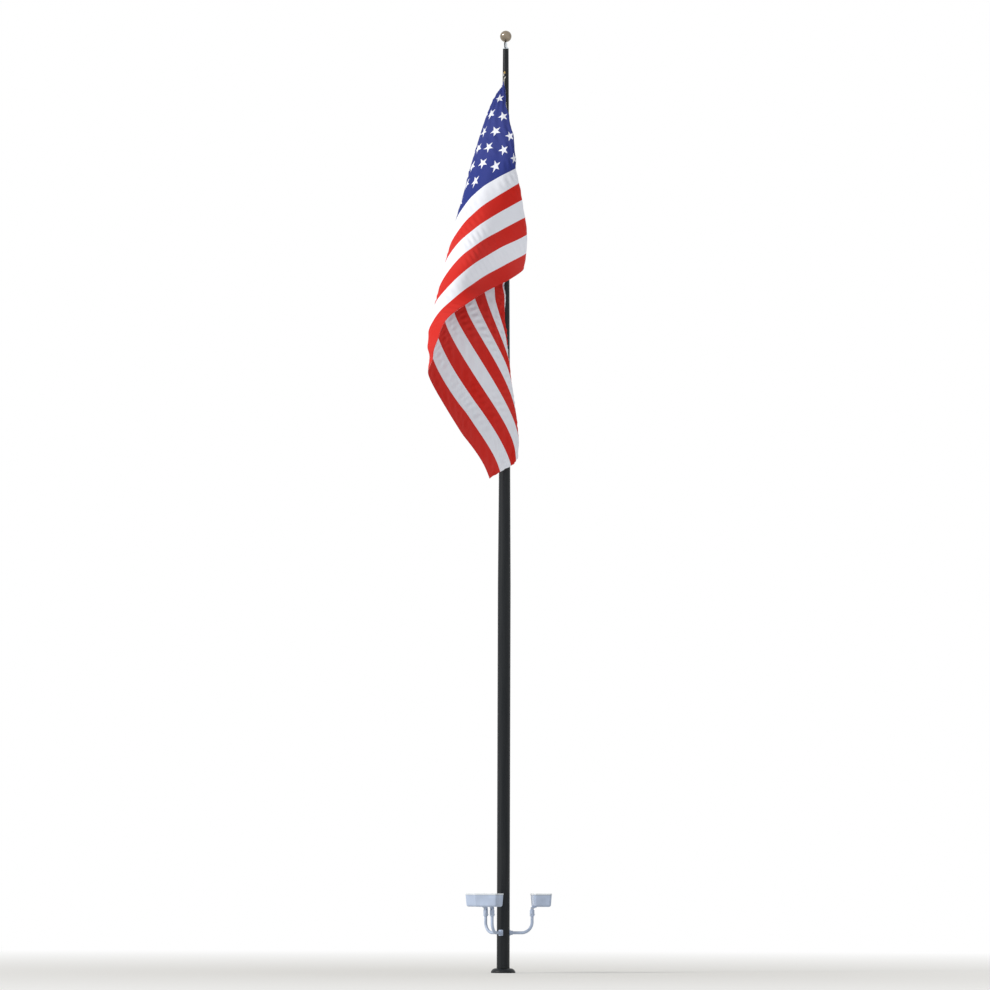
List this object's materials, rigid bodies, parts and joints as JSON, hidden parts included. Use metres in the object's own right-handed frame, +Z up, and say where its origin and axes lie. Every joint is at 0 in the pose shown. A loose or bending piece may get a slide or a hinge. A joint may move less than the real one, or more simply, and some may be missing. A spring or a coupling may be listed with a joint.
{
  "type": "flagpole",
  "caption": "Tall tapered flagpole with ball finial, revolving truck, striped flag in a long hanging fold, and tilting floodlights on bent pipe arms near its foot.",
  "frame": {"origin": "centre of the shaft's butt face, at ground level", "axes": "+Z up along the shaft, +X to the right and -Y towards the viewer of the picture"},
  "size_m": [2.4451, 3.6045, 18.6546],
  "materials": {
    "shaft_finish": "dark bronze anodised look, satin",
    "mill_aluminium": "mill finish",
    "lock_metal": "worn bright",
    "truck_metal": "clear satin casting",
    "sheave_metal": "machined",
    "bolt_steel": "zinc plated",
    "ball_metal": "polished, gold toned",
    "rope": "braided",
    "snap_metal": "cast bronze",
    "bead_plastic": "matte",
    "weight_cover": "matte cover",
    "flag_cloth": "woven nylon, red, white and blue",
    "light_paint": "light grey powder coat",
    "door_paint": "light grey powder coat",
    "lens_glass": "clear tempered",
    "reflector": "bright rolled sheet",
    "heading_canvas": "canvas webbing"
  },
  "bodies": {
    "pole": {"pole_lower": "shaft_finish", "pole_upper": "shaft_finish", "splice_sleeve": "mill_aluminium", "flash_collar": "shaft_finish", "door_frame": "mill_aluminium", "access_door": "shaft_finish", "door_lock": "lock_metal", "truck_spindle": "truck_metal", "arm_saddle_1": "light_paint", "light_arm_1": "light_paint", "slipfitter_1": "light_paint", "arm_saddle_2": "light_paint", "light_arm_2": "light_paint", "slipfitter_2": "light_paint", "arm_saddle_3": "light_paint", "light_arm_3": "light_paint", "slipfitter_3": "light_paint"},
    "truck": {"truck_housing": "truck_metal", "sheave": "sheave_metal", "sheave_pin": "bolt_steel", "finial_stem": "truck_metal", "finial_ball": "ball_metal", "halyard": "rope", "top_snap": "snap_metal", "lower_snap": "snap_metal", "retainer_ring": "bead_plastic", "counterweight": "weight_cover", "flag_cloth": "flag_cloth", "flag_heading": "heading_canvas"},
    "flood_1": {"knuckle_bolt_1": "bolt_steel", "flood_housing_1": "light_paint", "flood_door_1": "door_paint", "flood_lens_1": "lens_glass", "flood_reflector_1": "reflector"},
    "flood_2": {"knuckle_bolt_2": "bolt_steel", "flood_housing_2": "light_paint", "flood_door_2": "door_paint", "flood_lens_2": "lens_glass", "flood_reflector_2": "reflector"},
    "flood_3": {"knuckle_bolt_3": "bolt_steel", "flood_housing_3": "light_paint", "flood_door_3": "door_paint", "flood_lens_3": "lens_glass", "flood_reflector_3": "reflector"}
  },
  "joints": [
    {"name": "truck_swivel", "type": "hinge", "parent": "pole", "child": "truck", "pos_m": [0, 0, 18.3], "axis": [0, 0, 1], "continuous": true},
    {"name": "flood_tilt_1", "type": "hinge", "parent": "pole", "child": "flood_1", "pos_m": [0.56512, 0.0744, 1.265], "axis": [0.1305, -0.9914, 0], "range_deg": [-30, 60]},
    {"name": "flood_tilt_2", "type": "hinge", "parent": "pole", "child": "flood_2", "pos_m": [-0.34699, 0.45221, 1.265], "axis": [0.7934, 0.6088, 0], "range_deg": [-30, 60]},
    {"name": "flood_tilt_3", "type": "hinge", "parent": "pole", "child": "flood_3", "pos_m": [-0.21813, -0.52661, 1.265], "axis": [-0.9239, 0.3827, 0], "range_deg": [-30, 60]}
  ]
}
